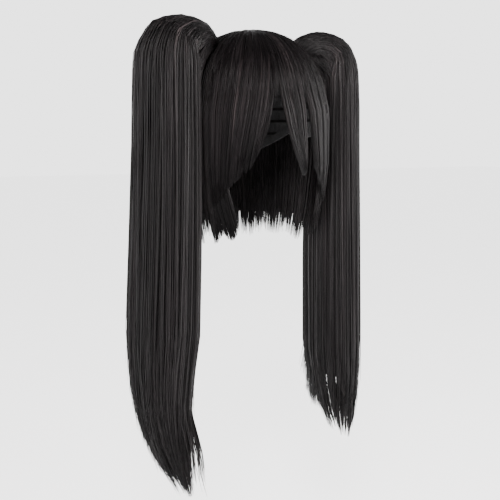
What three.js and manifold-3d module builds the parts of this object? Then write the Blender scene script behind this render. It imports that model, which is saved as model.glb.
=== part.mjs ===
// A long black wig with a swept fringe and two high pigtails, in millimetres, +Z up.
// The wearer faces -Y, and +X is the wearer's left. The origin is the inside of the cap's crown,
// where it rests on top of the head.
//
// A thin cap follows the head. Crown hair, nape hair, side locks and a fringe in three parts lie on
// it as walls, and each pigtail is a thick tail of fused locks, held by a plain clip on the crown.

import * as THREE from "three";
import { LoftGeometry } from "three/addons/geometries/LoftGeometry.js";
import { mergeVertices } from "three/addons/utils/BufferGeometryUtils.js";
import Module from "manifold-3d";

const wasm = await Module();
wasm.setup();

// The head that the wig fits
const HEAD_HALF_BREADTH = 78;
const HEAD_LENGTH = 200;
const HEAD_FRONT = HEAD_LENGTH * 0.485;
const HEAD_BACK = HEAD_LENGTH - HEAD_FRONT;
const DOME_HEIGHT = 100;
const DOME_FULLNESS = 2.3;
const NECK_DEPTH = 150;

// The cap and the walls of hair on it
const CAP_WALL = 1.6;
const LAYER_GAP = 0.8;
const REST_GAP = 0.3;
const UNDER_HAIR = 3.5;
const CROWN_HAIR = 8;
const OVER_HAIR = 5.5;
const RIDGE = 1;
const SEAM_DROP = 41;
const OVERLAY_FROM = 70;
const OVERLAY_TO = 90;

// The side and nape hair, measured down from the top of the head
const FRINGE_HALF_ANGLE = 62;
const BOB_DROP = 226;
const NAPE_ROOT_DROP = 104;
const NAPE_DROP = 244;
const LOCK_ROOT_DROP = 97;
const LOCK_DROP = 232;
const NAPE_TIP_STEP = 8;
const TIP_THINNING = 0.5;

// The pigtails. Each is rooted inside the head's half breadth and hangs outside it. slant is the
// share of its drop that is cut on a slant, sweep how far its tip leans forward, girth its thickness
// beside the table's, and blunt what is added to its tip.
const TAIL_ROOT_RIGHT = HEAD_HALF_BREADTH - 16;
const TAIL_ROOT_LEFT = HEAD_HALF_BREADTH - 11;
const TAIL_STAND_OFF = 35;
const TAIL_OUT = HEAD_HALF_BREADTH + TAIL_STAND_OFF;
const TAIL_RISE = 30;
const TAIL_HALF_THICK = 36;
const TAIL_HALF_WIDE = 52;
const TAIL_LEAN = -12;
const TAIL_DROP_RIGHT = 522;
const TAIL_DROP_LEFT = 488;
const TAIL_SLANT_RIGHT = 0.36;
const TAIL_SLANT_LEFT = 0.22;
const TAIL_SWEEP_SHARE_RIGHT = 1;
const TAIL_SWEEP_SHARE_LEFT = 0.7;
const TAIL_GIRTH_SHARE_RIGHT = 1;
const TAIL_GIRTH_SHARE_LEFT = 0.93;
const TAIL_BLUNT_SHARE_RIGHT = 0;
const TAIL_BLUNT_SHARE_LEFT = 0.2;
const TAIL_RIBS = 11;
const TAIL_RIB_DEPTH = 0.05;
const TIP_LOCKS = 9;
const TIP_LOCK_HALF = 13;

// The plain clip under each pigtail
const CLIP_RADIUS = 11;
const CLIP_HEIGHT = 6;
const CLIP_SIDES = 20;
const CLIP_SINK = 4;

// How finely the walls are made: degrees a column, and millimetres a row
const COLUMN = 9;
const ROW = 16;

// Below the widest line the head's form draws in to the neck. depth is a share of NECK_DEPTH, and
// the rest are shares of the head's half breadth, front and back.
const NECK = [
  { depth: 0.0, breadth: 1.0, front: 1.0, back: 1.0 },
  { depth: 0.33, breadth: 0.99, front: 1.0, back: 0.95 },
  { depth: 0.67, breadth: 0.92, front: 0.96, back: 0.82 },
  { depth: 1.0, breadth: 0.8, front: 0.86, back: 0.72 },
];

// The cap's rim: angle from the front, and depth as a share of DOME_HEIGHT.
const CAP_RIM = [
  { angle: 0, depth: 0.55 },
  { angle: 30, depth: 0.6 },
  { angle: 52, depth: 0.78 },
  { angle: 72, depth: 1.16 },
  { angle: 86, depth: 1.18 },
  { angle: 104, depth: 1.1 },
  { angle: 135, depth: 1.32 },
  { angle: 180, depth: 1.5 },
];

// Each part of the fringe falls from the seam to its lower edge. top and end are angles as shares of
// FRINGE_HALF_ANGLE, minus on the wearer's right, depth is a share of BOB_DROP, and sweep is the
// power by which a column leaves its top angle for its end angle.
const FRINGE_RIGHT = [
  { top: -0.19, end: -0.36, depth: 0.51, sweep: 1.6 },
  { top: -0.3, end: -0.5, depth: 0.63, sweep: 1.4 },
  { top: -0.45, end: -0.63, depth: 0.68, sweep: 1.3 },
  { top: -0.62, end: -0.76, depth: 0.73, sweep: 1.2 },
  { top: -0.8, end: -0.89, depth: 0.785, sweep: 1.0 },
  { top: -1.0, end: -1.0, depth: 0.84, sweep: 1.0 },
];
const FRINGE_CENTRE = [
  { top: -0.178, end: 0.145, depth: 0.675, sweep: 2.4 },
  { top: -0.06, end: 0.155, depth: 0.67, sweep: 1.8 },
  { top: 0.06, end: 0.163, depth: 0.66, sweep: 1.4 },
  { top: 0.142, end: 0.172, depth: 0.65, sweep: 1.4 },
];
const FRINGE_LEFT = [
  { top: 0.155, end: 0.36, depth: 0.64, sweep: 1.4 },
  { top: 0.32, end: 0.47, depth: 0.7, sweep: 1.3 },
  { top: 0.48, end: 0.6, depth: 0.74, sweep: 1.2 },
  { top: 0.66, end: 0.76, depth: 0.775, sweep: 1.1 },
  { top: 0.84, end: 0.9, depth: 0.81, sweep: 1.0 },
  { top: 1.0, end: 1.0, depth: 0.845, sweep: 1.0 },
];

// A side lock's columns: angles from the front in degrees, and its end as a share of LOCK_DROP.
const SIDE_LOCK = [
  { top: 58, end: 44, depth: 0.95 },
  { top: 64, end: 50, depth: 1.0 },
  { top: 71, end: 58, depth: 0.965 },
  { top: 79, end: 68, depth: 1.02 },
];

// The pigtail's sections from its root to its tip: the axis as shares of the way out from
// the root to TAIL_OUT, of TAIL_RISE up, and of the straight and the slanted part of its drop, the
// section as shares of its half thickness and half width, and how far it lies forward as a share of
// the half width.
const TAIL = [
  { out: -0.12, up: -0.32, down: 0, slant: 0, thick: 0.42, wide: 0.4, fore: 0 },
  { out: 0.04, up: 0.06, down: 0, slant: 0, thick: 0.5, wide: 0.5, fore: 0.05 },
  { out: 0.22, up: 0.28, down: 0, slant: 0, thick: 0.61, wide: 0.64, fore: 0.1 },
  { out: 0.53, up: 0.34, down: 0, slant: 0, thick: 0.73, wide: 0.76, fore: 0.14 },
  { out: 0.85, up: 0.16, down: 0, slant: 0, thick: 0.83, wide: 0.83, fore: 0.17 },
  { out: 1, up: -0.36, down: 0, slant: 0, thick: 0.87, wide: 0.87, fore: 0.19 },
  { out: 1.03, up: -1.15, down: 0, slant: 0, thick: 0.88, wide: 0.89, fore: 0.2 },
  { out: 1.04, up: 0, down: 0.31, slant: 0, thick: 0.9, wide: 0.92, fore: 0.19 },
  { out: 1.1, up: 0, down: 0.67, slant: 0, thick: 0.96, wide: 0.98, fore: 0.16 },
  { out: 1.18, up: 0, down: 1, slant: 0, thick: 0.98, wide: 1.03, fore: 0.12 },
  { out: 1.23, up: 0, down: 1, slant: 0.24, thick: 0.9, wide: 0.94, fore: 0.11 },
  { out: 1.25, up: 0, down: 1, slant: 0.46, thick: 0.81, wide: 0.83, fore: 0.17 },
  { out: 1.23, up: 0, down: 1, slant: 0.66, thick: 0.65, wide: 0.68, fore: 0.4 },
  { out: 1.15, up: 0, down: 1, slant: 0.85, thick: 0.31, wide: 0.32, fore: 0.73 },
  { out: 1.03, up: 0, down: 1, slant: 1, thick: 0.14, wide: 0.15, fore: 1.08 },
];
const TAIL_SLIM_FROM = 10;
const TAIL_BODY_END = 12;
const TAIL_BODY_SLIM = 0.6;
const TIP_LOCKS_FROM = 8.5;
const TIP_LOCKS_BACK = 12.4;
const TIP_LOCK_STEP = 0.7;
const LOCK_CORNERS = 6;
const LOCK_ROWS = 5;
const LOCK_REACH = 0.66;
const LOCK_END_REACH = 0.92;
const LOCK_TIP = 0.14;

const COLOURS = {
  net: { color: 0x17161a, roughness: 0.85 },
  hair: { color: 0x2c2928, roughness: 0.42 },
  clip: { color: 0x101012, roughness: 0.4 },
};

// Linear mixing, and reading a table at any value of one of its columns
const mix = THREE.MathUtils.lerp;
const radians = THREE.MathUtils.degToRad;

function read(rows, key, value, column) {
  const after = rows.findIndex((row) => row[key] >= value);
  if (after === 0) return rows[0][column];
  if (after < 0) return rows[rows.length - 1][column];
  const [low, high] = [rows[after - 1], rows[after]];
  return mix(low[column], high[column], (value - low[key]) / (high[key] - low[key]));
}

// A table read at a share of its length, with its rows evenly spaced
function readAt(rows, share, column) {
  const at = THREE.MathUtils.clamp(share, 0, 1) * (rows.length - 1);
  const row = Math.min(Math.floor(at), rows.length - 2);
  return mix(rows[row][column], rows[row + 1][column], at - row);
}

// The head's form at an angle from the front and a depth below the top of the head
function headForm(angle, depth) {
  const height = 1 - depth / DOME_HEIGHT;
  const below = Math.min(1, Math.max(0, depth - DOME_HEIGHT) / NECK_DEPTH);
  const ring = height > 0 ? (1 - height ** DOME_FULLNESS) ** (1 / DOME_FULLNESS) : 1;
  const [across, along] = [Math.sin(radians(angle)), -Math.cos(radians(angle))];
  const reach =
    along < 0
      ? HEAD_FRONT * read(NECK, "depth", below, "front")
      : HEAD_BACK * read(NECK, "depth", below, "back");
  const breadth = HEAD_HALF_BREADTH * read(NECK, "depth", below, "breadth");
  return new THREE.Vector3(ring * breadth * across, ring * reach * along, -depth);
}

// A point off the head's form, measured square to it
const FORM_STEP = 0.5;
function offHead(angle, depth, off) {
  const round = headForm(angle + FORM_STEP, depth).sub(headForm(angle - FORM_STEP, depth));
  const down = headForm(angle, depth + FORM_STEP).sub(
    headForm(angle, Math.max(0, depth - FORM_STEP)),
  );
  const square = down.cross(round).normalize();
  return headForm(angle, depth).addScaledVector(square, off);
}

// The layers: hair under the crown hair's skirt lies on the cap, and the skirt lies over it
const UNDER_INNER = CAP_WALL + LAYER_GAP;
const UNDER_OUTER = UNDER_INNER + UNDER_HAIR;
const OVER_INNER = UNDER_OUTER + LAYER_GAP;
const OVER_OUTER = OVER_INNER + OVER_HAIR;
const CROWN_OUTER = UNDER_INNER + CROWN_HAIR;

const overlay = (depth) => THREE.MathUtils.smoothstep(depth, OVERLAY_FROM, OVERLAY_TO);
const hairInner = (depth) => mix(UNDER_INNER, OVER_INNER, overlay(depth));
const hairOuter = (depth) => mix(CROWN_OUTER, OVER_OUTER, overlay(depth));

// A solid, ready for joining and cutting, from a closed surface
const WELD = 1e-3;
function solidOf(geometry) {
  const bare = new THREE.BufferGeometry();
  bare.setAttribute("position", geometry.attributes.position);
  bare.setIndex(geometry.index);
  const merged = mergeVertices(bare, WELD);
  const corners = merged.index.array;
  const kept = [];
  for (let i = 0; i < corners.length; i += 3) {
    const [a, b, c] = corners.slice(i, i + 3);
    if (a !== b && b !== c && c !== a) kept.push(a, b, c);
  }
  const positions = merged.attributes.position.array;
  const make = (triangles) =>
    new wasm.Manifold(
      new wasm.Mesh({
        numProp: 3,
        vertProperties: positions,
        triVerts: new Uint32Array(triangles),
      }),
    );
  const made = make(kept);
  return made.volume() > 0 ? made : make(kept.reverse());
}

function meshOf(name, solid, finish) {
  const { vertProperties, triVerts } = solid.getMesh();
  const geometry = new THREE.BufferGeometry();
  geometry.setAttribute("position", new THREE.BufferAttribute(new Float32Array(vertProperties), 3));
  geometry.setIndex(new THREE.BufferAttribute(new Uint32Array(triVerts), 1));
  geometry.computeVertexNormals();
  const mesh = new THREE.Mesh(geometry, new THREE.MeshStandardMaterial(COLOURS[finish]));
  mesh.name = name;
  return mesh;
}

// A loft through closed sections. Its ends are drawn together to a point or to a line.
const loft = (sections) => solidOf(new LoftGeometry(sections, { closed: true }));

function toCentre(section) {
  const centre = section.reduce((sum, point) => sum.add(point), new THREE.Vector3());
  centre.divideScalar(section.length);
  return section.map(() => centre);
}

function toMidline(section) {
  return section.map((point, i) => point.clone().lerp(section[section.length - 1 - i], 0.5));
}

// Ring angles round the head, and row shares down it, which are closer where the dome is flat
const RING_COLUMNS = Math.round(360 / COLUMN);
const ringAngles = Array.from({ length: RING_COLUMNS }, (_, i) => (360 * i) / RING_COLUMNS);
const rowShares = (rows) => Array.from({ length: rows }, (_, i) => ((i + 1) / rows) ** 2);

// Rings round the head from its top down to a rim, each as far off it as the layer's function says
function ringsDown(rim, off, rows) {
  const rings = rowShares(rows).map((share) =>
    ringAngles.map((angle) => offHead(angle, share * rim(angle), off(share * rim(angle)))),
  );
  return [ringAngles.map(() => new THREE.Vector3(0, 0, off(0))), ...rings];
}

// A dome-shaped wall, open below: rings down its outside and up its inside
function domeWall(rim, inner, outer, rows) {
  return loft([...ringsDown(rim, outer, rows), ...ringsDown(rim, inner, rows).reverse()]);
}

// A curved wall with two side edges: each section runs across its outside and back inside
function sheetWall({ columns, rows, place, inner, outer }) {
  const sections = [];
  for (let row = 0; row <= rows; row++) {
    const points = [];
    for (let side = 0; side < 2; side++) {
      for (let step = 0; step <= columns; step++) {
        const across = (side ? columns - step : step) / columns;
        const { angle, depth } = place(across, row / rows);
        const off = side ? inner(depth) : outer(depth, row / rows, across);
        points.push(offHead(angle, depth, off));
      }
    }
    sections.push(points);
  }
  return loft([toMidline(sections[0]), ...sections, toMidline(sections.at(-1))]);
}

// The rise of a combed ridge, 1 at the middle of each lock and 0 between two
const ridgeAt = (share, locks) => Math.abs(Math.sin(Math.PI * share * locks));

// The cap: a thin stretch net, lower at the ears and the nape
function makeCap() {
  const rim = (angle) => {
    const fromFront = angle > 180 ? 360 - angle : angle;
    return DOME_HEIGHT * read(CAP_RIM, "angle", fromFront, "depth");
  };
  return domeWall(
    rim,
    () => 0,
    () => CAP_WALL,
    Math.round(DOME_HEIGHT / ROW),
  );
}

// The crown hair: a dome down to the fringe's seam, with a skirt of locks at the sides and back
const DOME_ROWS = Math.round(SEAM_DROP / ROW) + 4;
const SKIRT_LOCKS = 12;
const SKIRT_FUSE = 0.6;
const SKIRT_TUCK = 14;
const SKIRT_TIP_STEP = 9;
const SKIRT_EDGE_GAP = 1;
function makeCrownHair() {
  const dome = domeWall(
    () => SEAM_DROP,
    () => UNDER_INNER,
    () => CROWN_OUTER,
    DOME_ROWS,
  );
  const from = FRINGE_HALF_ANGLE + SKIRT_EDGE_GAP;
  const top = SEAM_DROP - SKIRT_TUCK;
  const end = (across) => BOB_DROP + SKIRT_TIP_STEP * (ridgeAt(across, SKIRT_LOCKS) - 1);
  const skirt = sheetWall({
    columns: SKIRT_LOCKS * 3,
    rows: Math.round((BOB_DROP - top) / ROW),
    place: (across, down) => ({
      angle: mix(from, 360 - from, across),
      depth: mix(top, end(across), down),
    }),
    inner: (depth) => hairInner(depth) + (depth < SEAM_DROP ? SKIRT_FUSE : 0),
    outer: (depth, down, across) =>
      hairOuter(depth) - SKIRT_FUSE + RIDGE * down * ridgeAt(across, SKIRT_LOCKS),
  });
  return dome.add(skirt);
}

// A part of the fringe, from the seam to its lower edge, thinner towards the edge
const FRINGE_THINNING = 0.35;
function makeFringe(edge) {
  const place = (across, down) => {
    const [top, end, depth, sweep] = ["top", "end", "depth", "sweep"].map((column) =>
      readAt(edge, across, column),
    );
    return {
      angle: FRINGE_HALF_ANGLE * mix(top, end, down ** sweep),
      depth: mix(SEAM_DROP + LAYER_GAP, depth * BOB_DROP, down),
    };
  };
  const width = FRINGE_HALF_ANGLE * Math.abs(edge.at(-1).top - edge[0].top);
  const lowest = BOB_DROP * Math.max(...edge.map((column) => column.depth));
  return sheetWall({
    columns: Math.max(4, Math.round(width / COLUMN) + 2),
    rows: Math.round((lowest - SEAM_DROP) / ROW),
    place,
    inner: hairInner,
    outer: (depth, down) => {
      const thinning = FRINGE_THINNING * THREE.MathUtils.smoothstep(down, 0.5, 1);
      return mix(hairOuter(depth), hairInner(depth), thinning);
    },
  });
}

// A side lock, from the cap's ear tab down in front of the ear and in under the jaw
const LOCK_CURVE = 1.5;
function makeSideLock(side) {
  return sheetWall({
    columns: 5,
    rows: Math.round((LOCK_DROP - LOCK_ROOT_DROP) / ROW),
    place: (across, down) => {
      const [top, end] = ["top", "end"].map((column) => readAt(SIDE_LOCK, across, column));
      return {
        angle: side * mix(top, end, down ** LOCK_CURVE),
        depth: mix(LOCK_ROOT_DROP, LOCK_DROP * readAt(SIDE_LOCK, across, "depth"), down),
      };
    },
    inner: () => UNDER_INNER,
    outer: (depth, down) => mix(UNDER_OUTER, UNDER_INNER, TIP_THINNING * down ** 2),
  });
}

// The nape hair, under the crown hair's skirt and a little longer
const NAPE_LOCKS = 7;
const NAPE_FROM = 84;
function makeNapeHair() {
  const end = (across) => NAPE_DROP + NAPE_TIP_STEP * (ridgeAt(across, NAPE_LOCKS) - 1);
  return sheetWall({
    columns: NAPE_LOCKS * 3,
    rows: Math.round((NAPE_DROP - NAPE_ROOT_DROP) / ROW),
    place: (across, down) => ({
      angle: mix(NAPE_FROM, 360 - NAPE_FROM, across),
      depth: mix(NAPE_ROOT_DROP, end(across), down),
    }),
    inner: () => UNDER_INNER,
    outer: (depth, down) => mix(UNDER_OUTER, UNDER_INNER, TIP_THINNING * down ** 3),
  });
}

// All the space that the head and its own hair take, with a gap, which the pigtails keep out of
function headAndHair() {
  const ring = (depth, off) => ringAngles.map((angle) => offHead(angle, depth, off));
  const crown = ringsDown(
    () => SEAM_DROP,
    () => CROWN_OUTER + REST_GAP,
    DOME_ROWS,
  );
  const lowest = DOME_HEIGHT + NECK_DEPTH;
  const rows = Math.round((lowest - SEAM_DROP) / ROW);
  const skirt = Array.from({ length: rows }, (_, i) => {
    const depth = mix(SEAM_DROP, lowest, (i + 1) / rows);
    return ring(depth, hairOuter(depth) + RIDGE + LAYER_GAP);
  });
  return loft([...crown, ...skirt, toCentre(skirt.at(-1))]);
}

// Where a pigtail is rooted on the crown hair, and the head's depth below that place
function rootPlace(tail) {
  const share = tail.root / (HEAD_HALF_BREADTH + CROWN_OUTER);
  const height = (1 - share ** DOME_FULLNESS) ** (1 / DOME_FULLNESS);
  const drop = (DOME_HEIGHT + CROWN_OUTER) * (1 - height);
  return { out: tail.root, up: CROWN_OUTER - drop, depth: DOME_HEIGHT * (1 - height) };
}

// The pigtail's axis and size at a row of its table, which need not be whole
function tailSection(row, tail) {
  const share = row / (TAIL.length - 1);
  const [out, up, down, slant, thick, wide, fore] = [
    "out",
    "up",
    "down",
    "slant",
    "thick",
    "wide",
    "fore",
  ].map((column) => readAt(TAIL, share, column));
  const root = rootPlace(tail);
  const fall = tail.drop * mix(down, slant, tail.slanted);
  const hung = readAt(TAIL, Math.min(row, TAIL_SLIM_FROM) / (TAIL.length - 1), "fore");
  const blunt = tail.blunt * THREE.MathUtils.smoothstep(row, TAIL_SLIM_FROM, TAIL.length - 1);
  return {
    out: mix(root.out, TAIL_OUT, out),
    fore: -mix(hung, fore, tail.sweep) * TAIL_HALF_WIDE,
    up: root.up + up * TAIL_RISE - fall,
    thick: (thick + blunt) * tail.girth * TAIL_HALF_THICK,
    wide: (wide + blunt) * tail.girth * TAIL_HALF_WIDE,
  };
}

// A point in the pigtail: across and along are -1 to 1 in its section, outwards and backwards
function tailPoint(row, tail, across, along) {
  const here = tailSection(row, tail);
  const before = tailSection(Math.max(0, row - 0.5), tail);
  const after = tailSection(Math.min(TAIL.length - 1, row + 0.5), tail);
  const heading = Math.atan2(after.up - before.up, after.out - before.out);
  const lean = radians(TAIL_LEAN) * THREE.MathUtils.smoothstep(row, 1, 5);
  const outwards = across * here.thick * Math.cos(lean) - along * here.wide * Math.sin(lean);
  const backwards = along * here.wide * Math.cos(lean) + across * here.thick * Math.sin(lean);
  return new THREE.Vector3(
    tail.side * (here.out - outwards * Math.sin(heading)),
    here.fore + backwards,
    here.up + outwards * Math.cos(heading),
  );
}

// The body of a pigtail: a lofted, ribbed form from its root to inside its tips
const TAIL_CORNERS = TAIL_RIBS * 3;
function tailBody(tail) {
  const sections = [];
  for (let row = 0; row <= TAIL_BODY_END; row++) {
    const ribbed = TAIL_RIB_DEPTH * THREE.MathUtils.smoothstep(row, 1, 6);
    const ending = THREE.MathUtils.smoothstep(row, TIP_LOCKS_FROM, TAIL_BODY_END);
    const slim = mix(1, TAIL_BODY_SLIM, ending);
    const ring = Array.from({ length: TAIL_CORNERS }, (_, i) => {
      const turn = (2 * Math.PI * i) / TAIL_CORNERS;
      const reach = slim * (1 - ribbed + 2 * ribbed * ridgeAt(i / TAIL_CORNERS, TAIL_RIBS));
      return tailPoint(row, tail, reach * Math.cos(turn), reach * Math.sin(turn));
    });
    sections.push(ring);
  }
  return loft([toCentre(sections[0]), ...sections, toCentre(sections.at(-1))]);
}

// One pointed lock at a pigtail's end, fused into its body. turn goes round the tail's section,
// and shorter is how many rows of the tail's table the lock ends above its neighbours.
function tipLock(tail, turn, shorter) {
  const [across, along] = [Math.cos(turn), Math.sin(turn)];
  const last = mix(TAIL.length - 1, TIP_LOCKS_BACK, (along + 1) / 2) - shorter;
  const sections = Array.from({ length: LOCK_ROWS + 1 }, (_, step) => {
    const share = step / LOCK_ROWS;
    const reach = mix(LOCK_REACH, LOCK_END_REACH, share);
    const centre = tailPoint(mix(TIP_LOCKS_FROM, last, share), tail, across * reach, along * reach);
    const half = TIP_LOCK_HALF * mix(1, LOCK_TIP, share ** 2);
    return Array.from({ length: LOCK_CORNERS }, (_, i) => {
      const round = (2 * Math.PI * i) / LOCK_CORNERS;
      const spoke = new THREE.Vector3(half * Math.cos(round), half * Math.sin(round), 0);
      return spoke.add(centre);
    });
  });
  return loft([toCentre(sections[0]), ...sections, toCentre(sections.at(-1))]);
}

// The clip: a plain disc that stands square on the crown at the pigtail's root
function clipSolid(tail, grow) {
  const root = rootPlace(tail);
  const [foot, off] = [0, 1].map((height) => offHead(tail.side * 90, root.depth, height));
  const disc = new THREE.CylinderGeometry(
    CLIP_RADIUS + grow,
    CLIP_RADIUS + grow,
    CLIP_HEIGHT + CLIP_SINK + grow,
    CLIP_SIDES,
  );
  disc.translate(0, (CLIP_HEIGHT - CLIP_SINK + grow) / 2, 0);
  disc.applyQuaternion(
    new THREE.Quaternion().setFromUnitVectors(new THREE.Vector3(0, 1, 0), off.sub(foot)),
  );
  disc.translate(tail.side * root.out, 0, root.up);
  return solidOf(disc);
}

function makeTail(tail, kept) {
  let solid = tailBody(tail);
  for (let i = 0; i < TIP_LOCKS; i++) {
    const turn = (2 * Math.PI * (i + 0.5)) / TIP_LOCKS;
    solid = solid.add(tipLock(tail, turn, TIP_LOCK_STEP * (i % 2)));
  }
  return solid.subtract(kept).subtract(clipSolid(tail, REST_GAP));
}

const RIGHT = {
  side: -1,
  root: TAIL_ROOT_RIGHT,
  drop: TAIL_DROP_RIGHT,
  slanted: TAIL_SLANT_RIGHT,
  sweep: TAIL_SWEEP_SHARE_RIGHT,
  girth: TAIL_GIRTH_SHARE_RIGHT,
  blunt: TAIL_BLUNT_SHARE_RIGHT,
};
const LEFT = {
  side: 1,
  root: TAIL_ROOT_LEFT,
  drop: TAIL_DROP_LEFT,
  slanted: TAIL_SLANT_LEFT,
  sweep: TAIL_SWEEP_SHARE_LEFT,
  girth: TAIL_GIRTH_SHARE_LEFT,
  blunt: TAIL_BLUNT_SHARE_LEFT,
};
const kept = headAndHair();
const wig = new THREE.Group();
wig.add(
  meshOf("cap", makeCap(), "net"),
  meshOf("crown_hair", makeCrownHair(), "hair"),
  meshOf("nape_hair", makeNapeHair(), "hair"),
  meshOf("fringe_right", makeFringe(FRINGE_RIGHT), "hair"),
  meshOf("fringe_centre", makeFringe(FRINGE_CENTRE), "hair"),
  meshOf("fringe_left", makeFringe(FRINGE_LEFT), "hair"),
  meshOf("side_lock_right", makeSideLock(RIGHT.side), "hair"),
  meshOf("side_lock_left", makeSideLock(LEFT.side), "hair"),
  meshOf("tail_clip_right", clipSolid(RIGHT, 0).subtract(kept), "clip"),
  meshOf("tail_clip_left", clipSolid(LEFT, 0).subtract(kept), "clip"),
  meshOf("tail_right", makeTail(RIGHT, kept), "hair"),
  meshOf("tail_left", makeTail(LEFT, kept), "hair"),
);

export default wig;
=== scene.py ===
"""The looks of a long black wig with a swept fringe and two high pigtails.

Every strand is a thin closed tube, and each piece of hair is one mesh of many strands over a dark
under layer. Sizes are in millimetres until a mesh is made, and the frame is the model's own: +Z up,
the wearer faces -Y, +X is the wearer's left, and the origin is inside the top of the cap.
"""

import math

import bmesh
import bpy
import numpy as np
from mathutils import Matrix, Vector
from mathutils.bvhtree import BVHTree


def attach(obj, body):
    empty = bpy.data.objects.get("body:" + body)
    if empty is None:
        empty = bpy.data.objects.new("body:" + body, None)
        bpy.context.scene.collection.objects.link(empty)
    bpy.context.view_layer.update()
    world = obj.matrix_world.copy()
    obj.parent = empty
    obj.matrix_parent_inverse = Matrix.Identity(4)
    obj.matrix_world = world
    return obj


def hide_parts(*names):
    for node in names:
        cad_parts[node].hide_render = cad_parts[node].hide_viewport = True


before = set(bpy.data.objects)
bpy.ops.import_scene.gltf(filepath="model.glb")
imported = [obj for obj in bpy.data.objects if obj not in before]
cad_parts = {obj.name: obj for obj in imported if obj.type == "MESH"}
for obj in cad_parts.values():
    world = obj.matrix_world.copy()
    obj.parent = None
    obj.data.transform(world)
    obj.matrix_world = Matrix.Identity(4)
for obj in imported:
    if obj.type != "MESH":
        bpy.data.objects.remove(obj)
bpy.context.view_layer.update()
MM = 0.001
SEED = 11
rng = np.random.default_rng(SEED)

# The form inside the cap, and the layers of hair off it
HEAD_HALF_BREADTH = 78
HEAD_FRONT = 97
HEAD_BACK = 103
DOME_HEIGHT = 100
DOME_FULLNESS = 2.3
NECK_DEPTH = 150
NECK = {
    "depth": [0.0, 0.33, 0.67, 1.0],
    "breadth": [1.0, 0.99, 0.92, 0.8],
    "front": [1.0, 1.0, 0.96, 0.86],
    "back": [1.0, 0.95, 0.82, 0.72],
}
CAP_RIM = {
    "angle": [0, 30, 52, 72, 86, 104, 135, 180],
    "depth": [55, 60, 78, 116, 118, 110, 132, 150],
}
UNDER_INNER = 2.4
UNDER_OUTER = 5.9
OVER_INNER = 6.7
OVER_OUTER = 12.2
CROWN_OUTER = 10.4
SEAM_DROP = 41
OVERLAY_FROM = 70
OVERLAY_TO = 90

# The lengths of the side and nape hair
FRINGE_HALF_ANGLE = 62
BOB_DROP = 226
NAPE_ROOT_DROP = 104
NAPE_DROP = 244
LOCK_ROOT_DROP = 97
LOCK_DROP = 232

# Each part of the fringe, by columns: angles as shares of FRINGE_HALF_ANGLE, depth of BOB_DROP
FRINGE_RIGHT = {
    "top": [-0.19, -0.3, -0.45, -0.62, -0.8, -1.0],
    "end": [-0.36, -0.5, -0.63, -0.76, -0.89, -1.0],
    "depth": [0.51, 0.63, 0.68, 0.73, 0.785, 0.84],
    "sweep": [1.6, 1.4, 1.3, 1.2, 1.0, 1.0],
}
FRINGE_CENTRE = {
    "top": [-0.178, -0.06, 0.06, 0.142],
    "end": [0.145, 0.155, 0.163, 0.172],
    "depth": [0.675, 0.67, 0.66, 0.65],
    "sweep": [2.4, 1.8, 1.4, 1.4],
}
FRINGE_LEFT = {
    "top": [0.155, 0.32, 0.48, 0.66, 0.84, 1.0],
    "end": [0.36, 0.47, 0.6, 0.76, 0.9, 1.0],
    "depth": [0.64, 0.7, 0.74, 0.775, 0.81, 0.845],
    "sweep": [1.4, 1.3, 1.2, 1.1, 1.0, 1.0],
}
SIDE_LOCK = {
    "top": [58, 64, 71, 79],
    "end": [44, 50, 58, 68],
    "depth": [0.95, 1.0, 0.965, 1.02],
}

# The pigtails. root is how far out one starts, and drop how far its end lies below that. slanted,
# sweep and blunt shape its end, and girth is its size across. back_row is the row where its back
# ends, wisps the number of strands that part from its tip, and tip_tone how light its end is. ragged
# is how many rows its locks differ in length, and parted how far they part backwards at the end, as
# a share of TAIL_HALF_WIDE.
TAIL_OUT = 113
TAIL_RISE = 30
TAIL_HALF_THICK = 36
TAIL_HALF_WIDE = 52
TAIL_LEAN = -12
TAIL_RIBS = 11
TAIL_RIB_DEPTH = 0.05
TAILS = {
    "right": {"side": -1, "root": 62, "drop": 522, "slanted": 0.36, "sweep": 1.0, "girth": 1.0,
              "blunt": 0.0, "back_row": 12.9, "wisps": 46, "tip_tone": 1.0, "ragged": 0.45,
              "parted": 0.0},
    "left": {"side": 1, "root": 67, "drop": 488, "slanted": 0.22, "sweep": 0.7, "girth": 0.93,
             "blunt": 0.2, "back_row": 12.0, "wisps": 0, "tip_tone": 0.5, "ragged": 1.1,
             "parted": 0.24},
}

# The pigtails' sections, by rows from root to tip
TAIL = {
    "out": [-0.12, 0.04, 0.22, 0.53, 0.85, 1, 1.03, 1.04, 1.1, 1.18, 1.23, 1.25, 1.23, 1.15, 1.03],
    "up": [-0.32, 0.06, 0.28, 0.34, 0.16, -0.36, -1.15, 0, 0, 0, 0, 0, 0, 0, 0],
    "down": [0, 0, 0, 0, 0, 0, 0, 0.31, 0.67, 1, 1, 1, 1, 1, 1],
    "slant": [0, 0, 0, 0, 0, 0, 0, 0, 0, 0, 0.24, 0.46, 0.66, 0.85, 1],
    "thick": [0.42, 0.5, 0.61, 0.73, 0.83, 0.87, 0.88, 0.9, 0.96, 0.98, 0.9, 0.81, 0.65, 0.31, 0.14],
    "wide": [0.4, 0.5, 0.64, 0.76, 0.83, 0.87, 0.89, 0.92, 0.98, 1.03, 0.94, 0.83, 0.68, 0.32, 0.15],
    "fore": [0, 0.05, 0.1, 0.14, 0.17, 0.19, 0.2, 0.19, 0.16, 0.12, 0.11, 0.17, 0.4, 0.73, 1.08],
}
TAIL_SLIM_FROM = 10
TAIL_END = 14


def smooth(value, low, high):
    share = np.clip((value - low) / (high - low), 0, 1)
    return share * share * (3 - 2 * share)


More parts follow.
